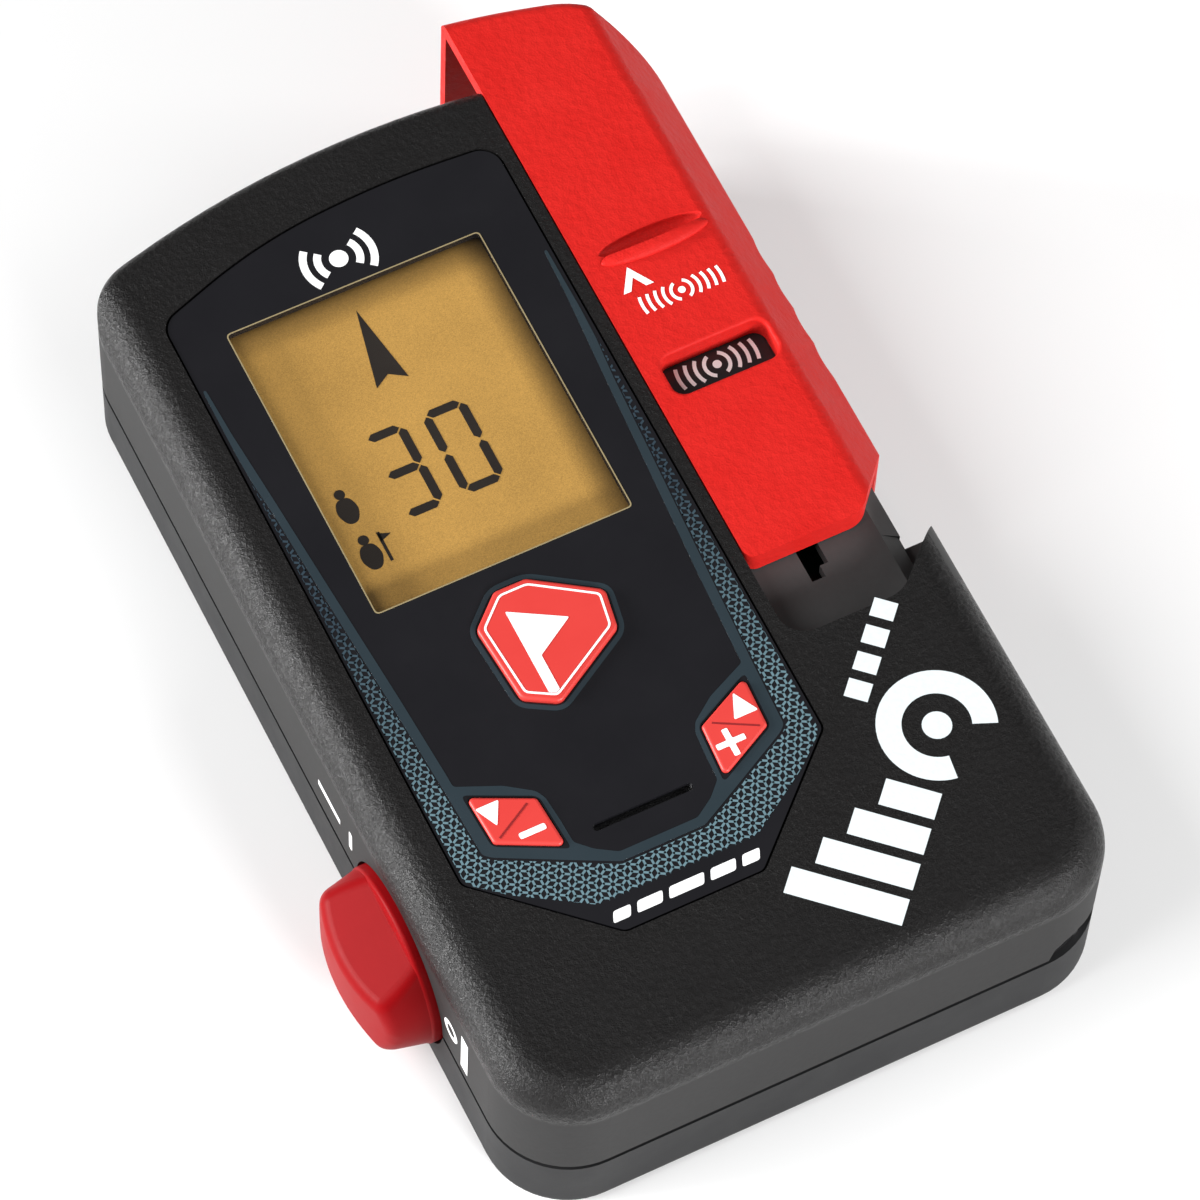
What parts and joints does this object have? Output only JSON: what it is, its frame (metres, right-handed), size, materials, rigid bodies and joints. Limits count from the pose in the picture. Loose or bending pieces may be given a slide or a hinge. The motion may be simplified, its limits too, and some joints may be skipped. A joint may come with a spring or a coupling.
{
  "type": "avalanche transceiver",
  "caption": "Hand-held avalanche transceiver: rounded two-shell case, amber display, raised buttons, red sliding mode cap and side rotary power knob.",
  "frame": {"origin": "centre of the whole object's bounding box on the plane of the flat back, with the slider pulled out (search position)", "axes": "+Z out of the front face with the display, +Y towards the top end the slider pulls out of, +X towards the side with the slider; the power knob is on the -X side"},
  "size_m": [0.077, 0.123, 0.0267],
  "materials": {
    "front_shell": "black, leather grain",
    "rear_shell": "black, satin",
    "fascia": "black, glossy, printed",
    "window": "clear",
    "display": "amber, grainy",
    "white_plastic": "satin",
    "rubber_black": "matte",
    "button_red": "red, glossy",
    "slider_red": "red, fine grain",
    "knob_red": "red, glossy",
    "label": "black, printed",
    "inner_plastic": "satin",
    "steel": "satin",
    "magnet": "nickel plated",
    "board_green": "satin",
    "chip_black": "matte",
    "ferrite": "dark grey",
    "copper": "lacquered copper winding",
    "cell_jacket": "plain jacket",
    "door_black": "black, fine grain",
    "insert_brass": "turned"
  },
  "bodies": {
    "body": {"front_housing": "front_shell", "rear_housing": "rear_shell", "front_overlay": "fascia", "display_window": "window", "lcd_glass": "display", "backlight": "white_plastic", "lcd_frame": "white_plastic", "lcd_connectors": "rubber_black", "housing_seal": "rubber_black", "knob_seal": "rubber_black", "buzzer_gasket": "rubber_black", "mode_label": "label", "long_antenna_clips": "inner_plastic", "cross_antenna_clips": "inner_plastic", "upright_antenna_bobbin": "inner_plastic", "housing_screws": "steel", "lanyard_post": "steel", "slider_detent_spring": "steel", "knob_detent_spring": "steel", "battery_springs": "steel", "battery_plates": "steel", "battery_door_pin": "steel", "switch_domes": "steel", "buzzer_membrane": "steel", "main_board": "board_green", "board_chips": "chip_black", "buzzer": "chip_black", "long_antenna_core": "ferrite", "cross_antenna_core": "ferrite", "long_antenna_coil": "copper", "cross_antenna_coil": "copper", "upright_antenna_coil": "copper", "battery_cells": "cell_jacket", "screw_insert": "insert_brass"},
    "slider": {"search_slider": "slider_red", "slider_carriage": "inner_plastic", "slider_screws": "steel", "slider_magnet": "magnet"},
    "knob": {"power_knob": "knob_red", "knob_shaft": "inner_plastic", "knob_rotor": "inner_plastic", "knob_magnet": "magnet", "knob_clip": "steel"},
    "mark": {"mark_button": "button_red"},
    "minus": {"minus_button": "button_red"},
    "plus": {"plus_button": "button_red"},
    "door": {"battery_door": "door_black", "battery_door_seal": "rubber_black"},
    "door_screw": {"battery_door_screw": "steel"}
  },
  "joints": [
    {"name": "search_slide", "type": "slide", "parent": "body", "child": "slider", "axis": [0, 1, 0], "range_m": [-0.0095, 0]},
    {"name": "power_turn", "type": "hinge", "parent": "body", "child": "knob", "pos_m": [-0.0315, -0.03127, 0.0106], "axis": [1, 0, 0], "range_deg": [0, 90]},
    {"name": "mark_press", "type": "slide", "parent": "body", "child": "mark", "axis": [0, 0, -1], "range_m": [0, 0.0005], "stiffness_N_per_m": 2500, "springref_m": -0.0001},
    {"name": "minus_press", "type": "slide", "parent": "body", "child": "minus", "axis": [0, 0, -1], "range_m": [0, 0.0005], "stiffness_N_per_m": 2500, "springref_m": -0.0001},
    {"name": "plus_press", "type": "slide", "parent": "body", "child": "plus", "axis": [0, 0, -1], "range_m": [0, 0.0005], "stiffness_N_per_m": 2500, "springref_m": -0.0001},
    {"name": "door_hinge", "type": "hinge", "parent": "body", "child": "door", "pos_m": [0.0035, 0.00013, 0.00175], "axis": [1, 0, 0], "range_deg": [0, 80]},
    {"name": "door_screw_turn", "type": "hinge", "parent": "door", "child": "door_screw", "pos_m": [0.0035, -0.05607, 0.0006], "axis": [0, 0, 1], "continuous": true}
  ]
}
